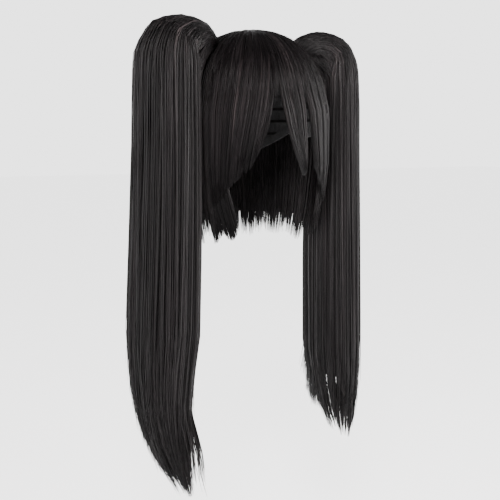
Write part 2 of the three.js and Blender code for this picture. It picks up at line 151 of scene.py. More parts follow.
# The camera stands where the photograph was taken from. Its place is in metres, and its focal
# length and downward tilt are in pixels of the photograph.
CAMERA_YAW = math.radians(28)
CAMERA_DISTANCE = 1.0
CAMERA_HEIGHT = -0.118
SENSOR = 36
PHOTO_WIDTH = 500
FOCAL_PIXELS = 798
TILT_PIXELS = 112


def make_camera():
    data = bpy.data.cameras.new("camera")
    data.sensor_width = SENSOR
    data.lens = SENSOR * FOCAL_PIXELS / PHOTO_WIDTH
    data.clip_end = 20
    camera = bpy.data.objects.new("camera", data)
    camera.location = (-math.sin(CAMERA_YAW) * CAMERA_DISTANCE,
                       -math.cos(CAMERA_YAW) * CAMERA_DISTANCE, CAMERA_HEIGHT)
    camera.rotation_euler = (math.radians(90) - math.atan2(TILT_PIXELS, FOCAL_PIXELS), 0, -CAMERA_YAW)
    bpy.context.scene.collection.objects.link(camera)
    bpy.context.scene.camera = camera


make_camera()


# The form inside the cap, and points off it
def head_form(angle, depth):
    height = np.clip(1 - depth / DOME_HEIGHT, 0, 1)
    ring = (1 - height**DOME_FULLNESS) ** (1 / DOME_FULLNESS)
    below = np.clip((depth - DOME_HEIGHT) / NECK_DEPTH, 0, 1)
    across, along = np.sin(np.radians(angle)), -np.cos(np.radians(angle))
    front = HEAD_FRONT * np.interp(below, NECK["depth"], NECK["front"])
    back = HEAD_BACK * np.interp(below, NECK["depth"], NECK["back"])
    breadth = HEAD_HALF_BREADTH * np.interp(below, NECK["depth"], NECK["breadth"])
    reach = np.where(along < 0, front, back)
    return np.stack([ring * breadth * across, ring * reach * along, -depth], -1)


def unit(vectors):
    return vectors / np.maximum(np.linalg.norm(vectors, axis=-1, keepdims=True), 1e-9)


# How near the very top a point and a strand may come, and half the step that a slope is read over
NEAR_TOP = 0.004
TOP_DEPTH = 0.01
SLOPE_STEP = 0.5


def off_head(angle, depth, off):
    depth = np.maximum(depth, NEAR_TOP)
    round_it = head_form(angle + SLOPE_STEP, depth) - head_form(angle - SLOPE_STEP, depth)
    above = np.maximum(depth - SLOPE_STEP, TOP_DEPTH)
    down_it = head_form(angle, depth + SLOPE_STEP) - head_form(angle, above)
    square = unit(np.cross(down_it, round_it))
    return head_form(angle, depth) + square * np.asarray(off)[..., None], square


def overlay(depth):
    return smooth(depth, OVERLAY_FROM, OVERLAY_TO)


def hair_inner(depth):
    return UNDER_INNER + (OVER_INNER - UNDER_INNER) * overlay(depth)


def hair_outer(depth):
    return CROWN_OUTER + (OVER_OUTER - CROWN_OUTER) * overlay(depth)


# The pigtails' form
def tail_section(row, tail):
    rows = np.arange(TAIL_END + 1)
    out, up, down, slant, thick, wide, fore = (np.interp(row, rows, TAIL[key]) for key in TAIL)
    share = tail["root"] / (HEAD_HALF_BREADTH + CROWN_OUTER)
    height = (1 - share**DOME_FULLNESS) ** (1 / DOME_FULLNESS)
    root_up = CROWN_OUTER - (DOME_HEIGHT + CROWN_OUTER) * (1 - height)
    fall = tail["drop"] * (down * (1 - tail["slanted"]) + slant * tail["slanted"])
    hung = np.interp(np.minimum(row, TAIL_SLIM_FROM), rows, TAIL["fore"])
    blunt = tail["blunt"] * smooth(row, TAIL_SLIM_FROM, TAIL_END)
    return (
        tail["root"] + (TAIL_OUT - tail["root"]) * out,
        -(hung + (fore - hung) * tail["sweep"]) * TAIL_HALF_WIDE,
        root_up + up * TAIL_RISE - fall,
        (thick + blunt) * tail["girth"] * TAIL_HALF_THICK,
        (wide + blunt) * tail["girth"] * TAIL_HALF_WIDE,
    )


def tail_point(row, tail, across, along, flare=0.0):
    """A point in a pigtail's section. With flare it keeps the width of a row further up."""
    out, fore, up = tail_section(row, tail)[:3]
    thick, wide = tail_section(np.maximum(row - flare, 0), tail)[3:]
    before = tail_section(np.maximum(row - SLOPE_STEP, 0), tail)
    after = tail_section(np.minimum(row + SLOPE_STEP, TAIL_END), tail)
    heading = np.arctan2(after[2] - before[2], after[0] - before[0])
    lean = math.radians(TAIL_LEAN) * smooth(row, 1, 5)
    outwards = across * thick * np.cos(lean) - along * wide * np.sin(lean)
    backwards = along * wide * np.cos(lean) + across * thick * np.sin(lean)
    x = tail["side"] * (out - outwards * np.sin(heading))
    return np.stack([x, fore + backwards, up + outwards * np.cos(heading)], -1)


def resample(paths, shares):
    """Points along each path at these shares of its length."""
    steps = np.linalg.norm(np.diff(paths, axis=1), axis=2)
    length = np.concatenate([np.zeros((len(paths), 1)), np.cumsum(steps, axis=1)], axis=1)
    picked = np.empty((len(paths), len(shares), paths.shape[2]))
    for i, path in enumerate(paths):
        at = shares * length[i, -1]
        for axis in range(paths.shape[2]):
            picked[i, :, axis] = np.interp(at, length[i], path[:, axis])
    return picked


def link(name, mesh, material, slot, *nodes):
    piece = bpy.data.objects.new(name, mesh)
    bpy.context.scene.collection.objects.link(piece)
    mesh.materials.clear()
    mesh.materials.append(material)
    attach(piece, "root")
    if nodes:
        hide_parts(*nodes)
    return piece


# One mesh of closed three-sided tubes along the paths, with their width by share of length
TUBE_SIDES = 3
TUBE_WIDTH = {"share": [0, 0.06, 0.7, 0.9, 1], "width": [0.6, 1, 0.95, 0.7, 0.18]}


def strand_mesh(name, paths, facing, radius, tint):
    count, points = paths.shape[:2]
    share = np.linspace(0, 1, points)
    width = np.interp(share, TUBE_WIDTH["share"], TUBE_WIDTH["width"])
    heading = unit(np.gradient(paths, axis=1))
    out = unit(facing - heading * np.sum(facing * heading, axis=2, keepdims=True))
    beside = np.cross(heading, out)
    turn = rng.uniform(0, 2 * np.pi, count)[:, None, None]
    rings = []
    for side in range(TUBE_SIDES):
        angle = turn + 2 * np.pi * side / TUBE_SIDES
        spoke = out * np.cos(angle) + beside * np.sin(angle)
        rings.append(paths + spoke * (radius[:, None] * width)[..., None])
    verts = np.stack(rings, axis=2).reshape(-1, 3) * MM
    index = np.arange(count * points * TUBE_SIDES).reshape(count, points, TUBE_SIDES)
    low, high = index[:, :-1], index[:, 1:]
    quads = np.stack([low, np.roll(low, -1, 2), np.roll(high, -1, 2), high], -1).reshape(-1, 4)
    caps = np.concatenate([index[:, 0, ::-1], index[:, -1]])
    mesh = bpy.data.meshes.new(name)
    mesh.vertices.add(len(verts))
    mesh.vertices.foreach_set("co", verts.ravel())
    mesh.loops.add(quads.size + caps.size)
    mesh.loops.foreach_set("vertex_index", np.concatenate([quads.ravel(), caps.ravel()]))
    mesh.polygons.add(len(quads) + len(caps))
    starts = np.concatenate([np.arange(len(quads)) * 4, quads.size + np.arange(len(caps)) * 3])
    mesh.polygons.foreach_set("loop_start", starts)
    mesh.polygons.foreach_set("use_smooth", np.ones(len(starts), dtype=bool))
    mesh.update(calc_edges=True)
    tint_data = mesh.attributes.new("tint", "FLOAT", "POINT").data
    tint_data.foreach_set("value", np.repeat(tint, TUBE_SIDES))
    return mesh


# The dark under layer: the solid's own form, a little inside it. It ends above a depth, where it
# is either cut or drawn up, so that only strands reach the lower edge. MERGE is in metres.
MERGE = 1e-5


def under_layer(node, inset, depth, drawn=None):
    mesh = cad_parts[node].data.copy()
    bm = bmesh.new()
    bm.from_mesh(mesh)
    bmesh.ops.remove_doubles(bm, verts=bm.verts, dist=MERGE)
    bmesh.ops.recalc_face_normals(bm, faces=bm.faces)
    bm.normal_update()
    moves = [vert.normal * inset * MM for vert in bm.verts]
    for vert, move in zip(bm.verts, moves):
        vert.co -= move
        below = -depth * MM - vert.co.z
        if drawn and below > 0:
            vert.co.z += below * (1 - drawn)
    if not drawn:
        whole = bm.verts[:] + bm.edges[:] + bm.faces[:]
        bmesh.ops.bisect_plane(bm, geom=whole, plane_co=(0, 0, -depth * MM), plane_no=(0, 0, -1),
                               clear_outer=True)
        bmesh.ops.holes_fill(bm, edges=[edge for edge in bm.edges if edge.is_boundary])
        bmesh.ops.triangulate(bm, faces=[face for face in bm.faces if len(face.verts) > 4])
        bmesh.ops.recalc_face_normals(bm, faces=bm.faces)
    for face in bm.faces:
        face.smooth = True
    bm.to_mesh(mesh)
    bm.free()
    return link(node + "_under", mesh, under_material, "hair", node)


# Materials
def nodes_of(name):
    material = bpy.data.materials.new(name)
    material.use_nodes = True
    tree = material.node_tree
    tree.nodes.clear()
    output = tree.nodes.new("ShaderNodeOutputMaterial")
    shader = tree.nodes.new("ShaderNodeBsdfPrincipled")
    tree.links.new(shader.outputs[0], output.inputs["Surface"])
    return material, tree, shader


def add(tree, kind, **values):
    node = tree.nodes.new(kind)
    for key, value in values.items():
        if hasattr(node, key):
            setattr(node, key, value)
        else:
            node.inputs[key].default_value = value
    return node


def ramp(tree, source, stops):
    node = tree.nodes.new("ShaderNodeValToRGB")
    elements = node.color_ramp.elements
    for place, value in stops[2:]:
        elements.new(place)
    for element, (place, value) in zip(elements, sorted(stops)):
        element.position = place
        element.color = (*value, 1) if isinstance(value, tuple) else (value, value, value, 1)
    tree.links.new(source, node.inputs["Fac"])
    return node


def stretched_noise(tree, scale, stretch, detail=3):
    """Noise that is drawn out along Z, for streaks that follow the fall of the hair."""
    where = tree.nodes.new("ShaderNodeTexCoord")
    mapping = tree.nodes.new("ShaderNodeMapping")
    mapping.inputs["Scale"].default_value = (scale, scale, scale * stretch)
    tree.links.new(where.outputs["Object"], mapping.inputs["Vector"])
    noise = tree.nodes.new("ShaderNodeTexNoise")
    noise.inputs["Scale"].default_value = 1
    noise.inputs["Detail"].default_value = detail
    tree.links.new(mapping.outputs["Vector"], noise.inputs["Vector"])
    return noise


def multiply(tree, first, second):
    node = tree.nodes.new("ShaderNodeMix")
    node.data_type = "RGBA"
    node.blend_type = "MULTIPLY"
    node.inputs["Factor"].default_value = 1
    tree.links.new(first, node.inputs["A"])
    tree.links.new(second, node.inputs["B"])
    return node.outputs["Result"]


def make_hair_material(name, gloss):
    material, tree, shader = nodes_of(name)
    tint = tree.nodes.new("ShaderNodeAttribute")
    tint.attribute_name = "tint"
    colour = ramp(tree, tint.outputs["Fac"], [
        (0.0, (0.0023, 0.0018, 0.002)),
        (0.55, (0.0056, 0.0044, 0.0048)),
        (0.85, (0.013, 0.0102, 0.0106)),
        (1.0, (0.03, 0.024, 0.0245)),
    ])
    patches = ramp(tree, stretched_noise(tree, 55, 0.12).outputs["Fac"], [(0.3, 0.55), (0.7, 1.35)])
    tree.links.new(multiply(tree, colour.outputs["Color"], patches.outputs["Color"]),
                   shader.inputs["Base Color"])
    rough = ramp(tree, tint.outputs["Fac"], [(0.0, 0.36), (1.0, 0.5)])
    tree.links.new(rough.outputs["Color"], shader.inputs["Roughness"])
    shader.inputs["IOR"].default_value = 1.5
    shader.inputs["Specular IOR Level"].default_value = gloss
    return material


def make_under_material():
    material, tree, shader = nodes_of("hair_under")
    noise = stretched_noise(tree, 900, 0.02, 4)
    colour = ramp(tree, noise.outputs["Fac"], [
        (0.3, (0.002, 0.0017, 0.0017)),
        (0.75, (0.009, 0.0075, 0.0075)),
    ])
    tree.links.new(colour.outputs["Color"], shader.inputs["Base Color"])
    bump = add(tree, "ShaderNodeBump", Strength=0.6, Distance=0.0006)
    tree.links.new(noise.outputs["Fac"], bump.inputs["Height"])
    tree.links.new(bump.outputs["Normal"], shader.inputs["Normal"])
    shader.inputs["Roughness"].default_value = 0.7
    shader.inputs["Specular IOR Level"].default_value = 0.1
    return material


def make_net_material():
    material, tree, shader = nodes_of("cap_net")
    where = tree.nodes.new("ShaderNodeTexCoord")
    cells = add(tree, "ShaderNodeTexVoronoi", feature="DISTANCE_TO_EDGE", Scale=900.0)
    tree.links.new(where.outputs["Object"], cells.inputs["Vector"])
    thread = ramp(tree, cells.outputs["Distance"], [(0.06, 1.0), (0.16, 0.0)])
    colour = ramp(tree, thread.outputs["Color"], [
        (0.0, (0.0022, 0.0022, 0.0024)),
        (1.0, (0.016, 0.0155, 0.0165)),
    ])
    tree.links.new(colour.outputs["Color"], shader.inputs["Base Color"])
    bump = add(tree, "ShaderNodeBump", Strength=0.7, Distance=0.0004)
    tree.links.new(thread.outputs["Color"], bump.inputs["Height"])
    tree.links.new(bump.outputs["Normal"], shader.inputs["Normal"])
    shader.inputs["Roughness"].default_value = 0.8
    shader.inputs["Specular IOR Level"].default_value = 0.25
    shader.inputs["Sheen Weight"].default_value = 0.15
    return material


def make_plastic_material():
    material, tree, shader = nodes_of("clip_plastic")
    where = tree.nodes.new("ShaderNodeTexCoord")
    noise = add(tree, "ShaderNodeTexNoise", Scale=900.0, Detail=3.0)
    tree.links.new(where.outputs["Object"], noise.inputs["Vector"])
    colour = ramp(tree, noise.outputs["Fac"], [(0.3, 0.006), (0.7, 0.011)])
    tree.links.new(colour.outputs["Color"], shader.inputs["Base Color"])
    bump = add(tree, "ShaderNodeBump", Strength=0.25, Distance=0.0002)
    tree.links.new(noise.outputs["Fac"], bump.inputs["Height"])
    tree.links.new(bump.outputs["Normal"], shader.inputs["Normal"])
    shader.inputs["Roughness"].default_value = 0.4
    return material


hair_material = make_hair_material("hair_strands", 0.18)
shaded_material = make_hair_material("hair_strands_shaded", 0.09)
under_material = make_under_material()
net_material = make_net_material()
plastic_material = make_plastic_material()


def carry_over(node, material):
    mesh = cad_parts[node].data
    mesh.materials.clear()
    mesh.materials.append(material)


carry_over("cap", net_material)
for side in TAILS:
    carry_over("tail_clip_" + side, plastic_material)


CLUMP_TINT = 0.7
STRAND_TINT = 0.3
PALE_SHARE = 0.03
PALER = 0.2


def tints(clump, points, light=1.0, tip=1.0, tip_from=0.35):
    """How light each point of each strand is: some whole clumps are lighter, and a few strands. light is
    painted light and shade on the whole piece.
    """
    count = len(clump)
    shade = CLUMP_TINT * rng.beta(1.7, 2.8, clump.max() + 1)[clump]
    shade = shade + STRAND_TINT * rng.beta(1.5, 3, count)
    # light scales the whole piece: painted light and shade for how light falls on it
    shade = light * (shade + (rng.random(count) > 1 - PALE_SHARE) * PALER)
    fall = 1 + (tip - 1) * smooth(np.linspace(0, 1, points), tip_from, 0.95)
    return np.clip(shade[:, None] * fall[None, :], 0, 1)


# Strands over a curved layer of hair. place gives the angle and depth at a share across and down.
# A strand's level is its share of the way out through the layer, and a lining lies on its inside.
PATH_POINTS = 48
CLUMP_LEVEL = 0.5
STRAND_LEVEL = 0.62
LINING_LEVEL = (-0.12, 0.05)
CENTRE_PULL = 0.75
WAVE_SHARE = 0.2
WAVE_ANGLE = 5


def sheet_strands(name, node, place, inner, outer, count, clumps, points, radius=(0.4, 0.62),
                  across_spread=0.012, tip_spread=6.0, start=(0.0, 0.02), lift=0.6, close=0.45,
                  inside=0.0, bulge=0.0, light=1.0, tip=1.0, material=hair_material):
    clump = rng.integers(0, clumps, count)
    centre = (np.arange(clumps) + rng.uniform(0.1, 0.9, clumps)) / clumps
    height = rng.uniform(0.0, 1.0, clumps)
    spread = rng.normal(0, across_spread, count)
    share = np.clip(centre[clump] + spread, 0, 1)
    level = np.clip(height[clump] * CLUMP_LEVEL + rng.uniform(0, STRAND_LEVEL, count), 0, 1)
    lining = rng.random(count) < inside
    level[lining] = rng.uniform(*LINING_LEVEL, lining.sum())
    first = rng.uniform(*start, count)
    clump_tip = rng.normal(0, tip_spread, clumps)[clump]
    along = np.linspace(0, 1, PATH_POINTS)[None, :]
    down = first[:, None] + (1 - first[:, None]) * along
    pulled = centre[clump] + spread * (1 - CENTRE_PULL)
    across = share[:, None] + (pulled - share)[:, None] * close * down**3
    wave = rng.uniform(0, 2 * np.pi, (count, 1))
    across = across + WAVE_SHARE * across_spread * np.sin(wave + WAVE_ANGLE * down)
    across = np.clip(across, 0, 1)
    angle, depth = place(across, down)
    longer = (clump_tip + rng.normal(0, tip_spread * 0.5, count))[:, None]
    depth = depth + np.minimum(longer, tip_spread) * smooth(down, 0.35, 1)
    off = inner(depth) + (outer(depth) - inner(depth) + lift) * level[:, None]
    if bulge:
        off = off + bulge * rng.uniform(0.1, 1, (count, 1)) * np.sin(np.pi * along)
    points_3d, square = off_head(angle, depth, off)
    both = resample(np.concatenate([points_3d, square], 2), np.linspace(0, 1, points))
    size = rng.uniform(*radius, count)
    mesh = strand_mesh(name, both[..., :3], unit(both[..., 3:]), size,
                       tints(clump, points, light, tip))
    return link(name, mesh, material, "hair", node)


# How far the fringe's strands start above the seam
SEAM_COVER = 16


def fringe_place(edge):
    columns = np.linspace(0, 1, len(edge["top"]))

    def place(across, down):
        top, end, depth, sweep = (np.interp(across, columns, edge[key])
                                  for key in ("top", "end", "depth", "sweep"))
        bent = np.clip(down, 0, 1) ** sweep
        root = SEAM_DROP - SEAM_COVER
        return (FRINGE_HALF_ANGLE * (top + (end - top) * bent),
                root + (depth * BOB_DROP - root) * down)
    return place


def crown_depth(down, lowest):
    """Even steps down the crown: slow at first, where the dome is nearly flat."""
    return lowest * down**1.7


FRONT_DROP = 68
NAPE_FROM = 84


def front_place(across, down):
    return (2 * across - 1) * (FRINGE_HALF_ANGLE + 3), crown_depth(down, FRONT_DROP) + TOP_DEPTH


def skirt_place(across, down):
    start = FRINGE_HALF_ANGLE + 0.5
    ragged = 2 * np.sin(across * 21 + 1) + 1.5 * np.sin(across * 53)
    return (start + (360 - 2 * start) * across,
            crown_depth(down, BOB_DROP - 3 + ragged * smooth(down, 0.7, 1)) + TOP_DEPTH)


def nape_place(across, down):
    ragged = 2.5 * np.sin(across * 17 + 2) + 2 * np.sin(across * 41)
    lowest = NAPE_DROP - 6 + ragged
    return (NAPE_FROM + (360 - 2 * NAPE_FROM) * across,
            NAPE_ROOT_DROP + (lowest - NAPE_ROOT_DROP) * down)


def lock_place(side):
    columns = np.linspace(0, 1, len(SIDE_LOCK["top"]))

    def place(across, down):
        top, end, depth = (np.interp(across, columns, SIDE_LOCK[key])
                           for key in ("top", "end", "depth"))
        return (side * (top + (end - top) * down**1.5),
                LOCK_ROOT_DROP + (LOCK_DROP * depth - LOCK_ROOT_DROP) * down)
    return place


def layer(value):
    return lambda depth: np.full_like(depth, value)


FLYAWAY_RADIUS = (0.13, 0.2)
FLYAWAY_START = (0.05, 0.4)
WHORL_START = (0.0, 0.006)

# Each piece's light makes it lighter or darker as a whole: painted light and shade
sheet_strands("crown_front_strands", "crown_hair", front_place, layer(UNDER_INNER + 5),
              layer(CROWN_OUTER), count=800, clumps=80, points=10, tip_spread=11, lift=0.9, close=0.15,
              start=WHORL_START, light=0.95)
sheet_strands("crown_flyaways", "crown_hair", skirt_place, hair_outer, hair_outer, count=60, clumps=60,
              points=14, radius=FLYAWAY_RADIUS, tip_spread=14, start=FLYAWAY_START, bulge=5.5)
sheet_strands("crown_front_flyaways", "crown_hair", front_place, hair_outer, hair_outer, count=50,
              clumps=50, points=12, radius=FLYAWAY_RADIUS, tip_spread=14, start=FLYAWAY_START, bulge=4.5)
sheet_strands("crown_skirt_strands", "crown_hair", skirt_place, hair_inner, hair_outer, count=1500,
              clumps=160, points=15, across_spread=0.005, tip_spread=5.5, lift=0.9, close=0.15,
              inside=0.12, start=WHORL_START, light=1.1)
# The fringe's parts are made lighter by part as painted light, most on the right part and the centre
# lock, and tip=0.2 darkens their ends as painted shade, where the fringe curls under
for part, edge, count, light, material in (
        ("right", FRINGE_RIGHT, 900, 1.3, shaded_material),
        ("centre", FRINGE_CENTRE, 330, 1.3, hair_material),
        ("left", FRINGE_LEFT, 700, 1.0, hair_material)):
    sheet_strands(f"fringe_{part}_strands", "fringe_" + part, fringe_place(edge), hair_inner, hair_outer,
                  count=count, clumps=count // 9, points=12, across_spread=0.013, start=(0.0, 0.16),
                  lift=1.1, close=0.3, tip_spread=7.5, light=light, tip=0.2, material=material)
# The side locks are darkened to light=0.3 as painted shade, where they hang in the shadow of the fringe
for side, sign in (("right", -1), ("left", 1)):
    sheet_strands(f"side_lock_{side}_strands", "side_lock_" + side, lock_place(sign),
                  layer(UNDER_INNER), layer(UNDER_OUTER), count=480, clumps=30, points=12,
                  across_spread=0.03, tip_spread=5, close=0.25, inside=0.25, light=0.3,
                  material=shaded_material)
sheet_strands("nape_strands", "nape_hair", nape_place, layer(UNDER_INNER), layer(UNDER_OUTER),
              count=1150, clumps=140, points=10, across_spread=0.011, tip_spread=6, close=0.08,
              inside=0.35)
for node, inset, depth, drawn in (
        ("crown_hair", 1.9, 206, None), ("nape_hair", 1.2, 216, None), ("fringe_right", 1.3, 100, 0.9),
        ("fringe_centre", 1.2, 100, 0.85), ("fringe_left", 1.3, 100, 0.88),
        ("side_lock_right", 1.1, 213, None), ("side_lock_left", 1.1, 213, None)):
    under_layer(node, inset, depth, drawn)


# How far a pigtail's strands stay outside the hair round the cap
TAIL_CLEARANCE = 1.5


def clear_of_head(points):
    """Moves points outwards where they would lie in the hair round the cap."""
    depth = np.clip(-points[..., 2], 0, DOME_HEIGHT + NECK_DEPTH)
    edge_x = np.abs(head_form(90.0, depth)[..., 0]) + hair_outer(depth) + TAIL_CLEARANCE
    edge_y = np.abs(head_form(np.where(points[..., 1] < 0, 0.0, 180.0), depth)[..., 1])
    edge_y = edge_y + hair_outer(depth) + TAIL_CLEARANCE
    inside = np.hypot(points[..., 0] / edge_x, points[..., 1] / edge_y)
    grow = 1 + (np.maximum(1 / np.maximum(inside, 0.3), 1) - 1) * smooth(depth, 28, 60)
    return points * np.stack([grow, grow, np.ones_like(grow)], -1)


# Painted shade darkens the arch up to a share of a strand's length, apart from some clumps with a
# painted highlight streak
HIGHLIGHTED_CLUMPS = 0.25
ARCH_PAINTED_HIGHLIGHT = 0.45
ARCH_PAINTED_SHADE = 0.75
PAINTED_SHADE_ENDS = (0.1, 0.2)
HIGHLIGHTED_SHADE_SHARE = 0.4
TAIL_RADIUS = (0.42, 0.7)


def tail_piece(name, node, tail, row, across, along, flare, push, clump, shares, tip_from, paint_arch_light):
    """A mesh of strands at these rows and places in a pigtail's section. The last argument is 1 or 0:
    with 1 the arch gets its painted shade and painted highlight.
    """
    paths = tail_point(row, tail, across, along, flare)
    middle = tail_point(row, tail, 0 * across, 0 * along)
    facing = unit(paths - middle)
    paths = clear_of_head(paths)
    paths[..., :2] += push
    both = resample(np.concatenate([paths, facing], 2), shares)
    size = rng.uniform(*TAIL_RADIUS, len(paths))
    shade = tints(clump, len(shares), tip=tail["tip_tone"], tip_from=tip_from)
    # Some clumps get a painted highlight streak over the arch, and their painted shade ends sooner
    highlighted = (rng.random(clump.max() + 1) < HIGHLIGHTED_CLUMPS)[clump][:, None]
    painted_shade_end = rng.uniform(*PAINTED_SHADE_ENDS, clump.max() + 1)[clump][:, None]
    painted_shade_end = painted_shade_end * np.where(highlighted, HIGHLIGHTED_SHADE_SHARE, 1)
    # The band of painted highlight, where the hair turns down over the arch
    highlight_band = smooth(shares, 0.05, 0.1) * (1 - smooth(shares, 0.14, 0.26))
    # Painted shade over the root and top of the arch, up to a share of each strand's length
    painted_shade = ARCH_PAINTED_SHADE * paint_arch_light * (1 - smooth(shares, painted_shade_end - 0.05, painted_shade_end + 0.02))
    shade = np.clip(shade * (1 - painted_shade) + ARCH_PAINTED_HIGHLIGHT * highlighted * highlight_band * paint_arch_light, 0, 1)
    mesh = strand_mesh(name, both[..., :3], unit(both[..., 3:]), size, shade)
    return link(name, mesh, hair_material, "hair", node)


# A pigtail's long strands: in clumps, which gather in locks towards the end, and a few loose ones
TAIL_PATH_POINTS = 110
RING = (0.965, 1.015)
SUNK_RING = (0.86, 0.95)
SUNK_CLUMPS = 0.15
ROOT_WRAP = 0.42
LOCK_JOIN = 0.25
CROSS_DRIFT = 0.13
FRAYED_SHARE = 0.25
FRAY_ROWS = 2.4
FRONT_FLARE = 0.25
STRAND_DRIFT = 0.014
ARCH_LENGTH = 0.24
ARCH_POINTS = 10


def tail_strands(name, node, tail, count, locks, clumps, points):
    lock_turn = 2 * np.pi * (np.arange(locks) + rng.uniform(0.2, 0.8, locks)) / locks
    lock_last = -np.abs(rng.normal(0, tail["ragged"], locks)) * (rng.random(locks) > 0.3)
    turn = 2 * np.pi * (np.arange(clumps) + rng.uniform(0, 1, clumps)) / clumps - np.pi
    lock = np.argmin(np.abs(np.angle(np.exp(1j * (turn[:, None] - lock_turn[None, :])))), 1)
    ring = np.where(rng.random(clumps) < 1 - SUNK_CLUMPS, rng.uniform(*RING, clumps),
                    rng.uniform(*SUNK_RING, clumps))
    rib = 0.6 * TAIL_RIB_DEPTH * (2 * np.abs(np.sin(turn * TAIL_RIBS / 2)) - 1)
    clump = rng.integers(0, clumps, count)
    spread = rng.normal(0, 0.03, (count, 2))
    loose = rng.random(count) > 0.96
    spread[loose] *= 2
    spread = np.clip(spread, -0.09, 0.09)
    back = (np.sin(turn)[clump] + 1) / 2
    last = TAIL_END + (tail["back_row"] - TAIL_END) * back + lock_last[lock][clump] + 0.35
    last = last - rng.exponential(0.35, clumps)[clump] - rng.exponential(0.3, count)
    frayed = rng.random(count) < FRAYED_SHARE
    last[frayed] -= rng.uniform(0, FRAY_ROWS, frayed.sum())
    last = np.clip(last, 10, TAIL_END + 0.05)
    first = rng.uniform(0.2, 0.9, count)
    share = np.linspace(0, 1, TAIL_PATH_POINTS)[None, :]
    row = first[:, None] + (last - first)[:, None] * share
    reach = ring[clump][:, None] * (1 + rib[clump][:, None] * smooth(row, 3, 8))
    reach = reach * (1 - 0.1 * smooth(row, 11.5, 13))
    to_lock = np.angle(np.exp(1j * (lock_turn[lock][clump] - turn[clump])))[:, None]
    round_it = turn[clump][:, None] * (1 - ROOT_WRAP * (1 - smooth(row, 1.5, 5.5)))
    round_it = round_it + LOCK_JOIN * smooth(share, 0.78, 1) * to_lock
    round_it = round_it + rng.normal(0, CROSS_DRIFT, clumps)[clump][:, None] * smooth(share, 0.3, 0.85)
    drawn = (0.45 + 0.55 * smooth(share, 0.05, 0.3)) * (1 - 0.4 * smooth(share, 0.8, 1))
    splay = rng.normal(0, 0.03, (locks, 2))[lock][clump] + rng.normal(0, 0.02, (count, 2))
    splay[:, 1] += tail["parted"] * rng.uniform(0.15, 1, locks)[lock][clump]
    splay = splay[:, None, :] * smooth(share, 0.8, 1)[..., None] ** 2
    flare = np.abs(rng.normal(0, 0.5, clumps))[clump] + np.abs(rng.normal(0, 0.4, count))
    flare = flare + 0.7 * frayed - 0.75 * lock_last[lock][clump]
    flare = flare * (FRONT_FLARE + (1 - FRONT_FLARE) * back)
    flare = flare[:, None] * smooth(share, 0.85, 1)
    drift = rng.uniform(0, 2 * np.pi, (count, 1)) + rng.uniform(3, 8, (count, 1)) * share
    drift = STRAND_DRIFT * np.sin(drift) * smooth(share, 0.15, 0.4)
    across = reach * np.cos(round_it) + spread[:, :1] * drawn + drift
    along = reach * np.sin(round_it) + spread[:, 1:] * drawn - drift
    shares = np.concatenate([np.linspace(0, ARCH_LENGTH, ARCH_POINTS)[:-1],
                             np.linspace(ARCH_LENGTH, 1, points - ARCH_POINTS + 1)])
    return tail_piece(name, node, tail, row, across, along, flare, splay * TAIL_HALF_WIDE, clump,
                      shares, tip_from=0.84, paint_arch_light=1)


# A pigtail's shorter strands. Angles for wisps are in radians, and for root strands in degrees.
SHORT_PATH_POINTS = 60
TIP_FROM_ROW = 9.2
WISP_TURN = -2.2
WISP_RING = 0.96
WISP_END = (12.5, 13.4)
WISP_REACH = (4, 56)


def tip_strands(name, node, tail, count, clumps, points):
    """Shorter strands that fill the last third, and a few wisps that part from it forwards."""
    clump = rng.integers(0, clumps, count)
    turn = rng.uniform(-np.pi, np.pi, clumps)[clump] + rng.normal(0, 0.05, count)
    inner = np.sqrt(rng.uniform(0.02, 0.95, clumps))[clump]
    back = (np.sin(turn) * inner + 1) / 2
    last = TAIL_END + (tail["back_row"] - TAIL_END) * back + 0.3
    last = last - rng.exponential(0.3, clumps)[clump] - rng.exponential(0.25, count)
    flare = np.abs(rng.normal(0, 0.4, clumps))[clump] + np.abs(rng.normal(0, 0.3, count))
    flare = flare * (FRONT_FLARE + (1 - FRONT_FLARE) * back)
    wisp = np.arange(count) < tail["wisps"]
    turn[wisp] = rng.normal(WISP_TURN, 0.25, tail["wisps"])
    inner[wisp] = WISP_RING
    flare[wisp] = 0
    last[wisp] = rng.uniform(*WISP_END, tail["wisps"])
    forwards = np.where(wisp, rng.uniform(*WISP_REACH, count), 0)
    last = np.clip(last, 11, TAIL_END)
    share = np.linspace(0, 1, SHORT_PATH_POINTS)[None, :]
    row = TIP_FROM_ROW + (last - TIP_FROM_ROW)[:, None] * share
    across = inner[:, None] * np.cos(turn)[:, None] * np.ones_like(row)
    along = inner[:, None] * np.sin(turn)[:, None] * np.ones_like(row)
    flare = flare[:, None] * smooth(share, 0.45, 1)
    push = np.zeros((count, SHORT_PATH_POINTS, 2))
    push[..., 1] = -forwards[:, None] * smooth(share, 0.35, 1.05) ** 1.3
    return tail_piece(name, node, tail, row, across, along, flare, push, clump,
                      np.linspace(0, 1, points), tip_from=0.1, paint_arch_light=0)


ROOT_FRONT_SHARE = 0.62
JOIN_ROW = 5.0
JOIN_TURN = (92, 182)
JOIN_END = (7.4, 8.9)
START_TURN = (40, 115)
START_ROW = (0.7, 1.9)


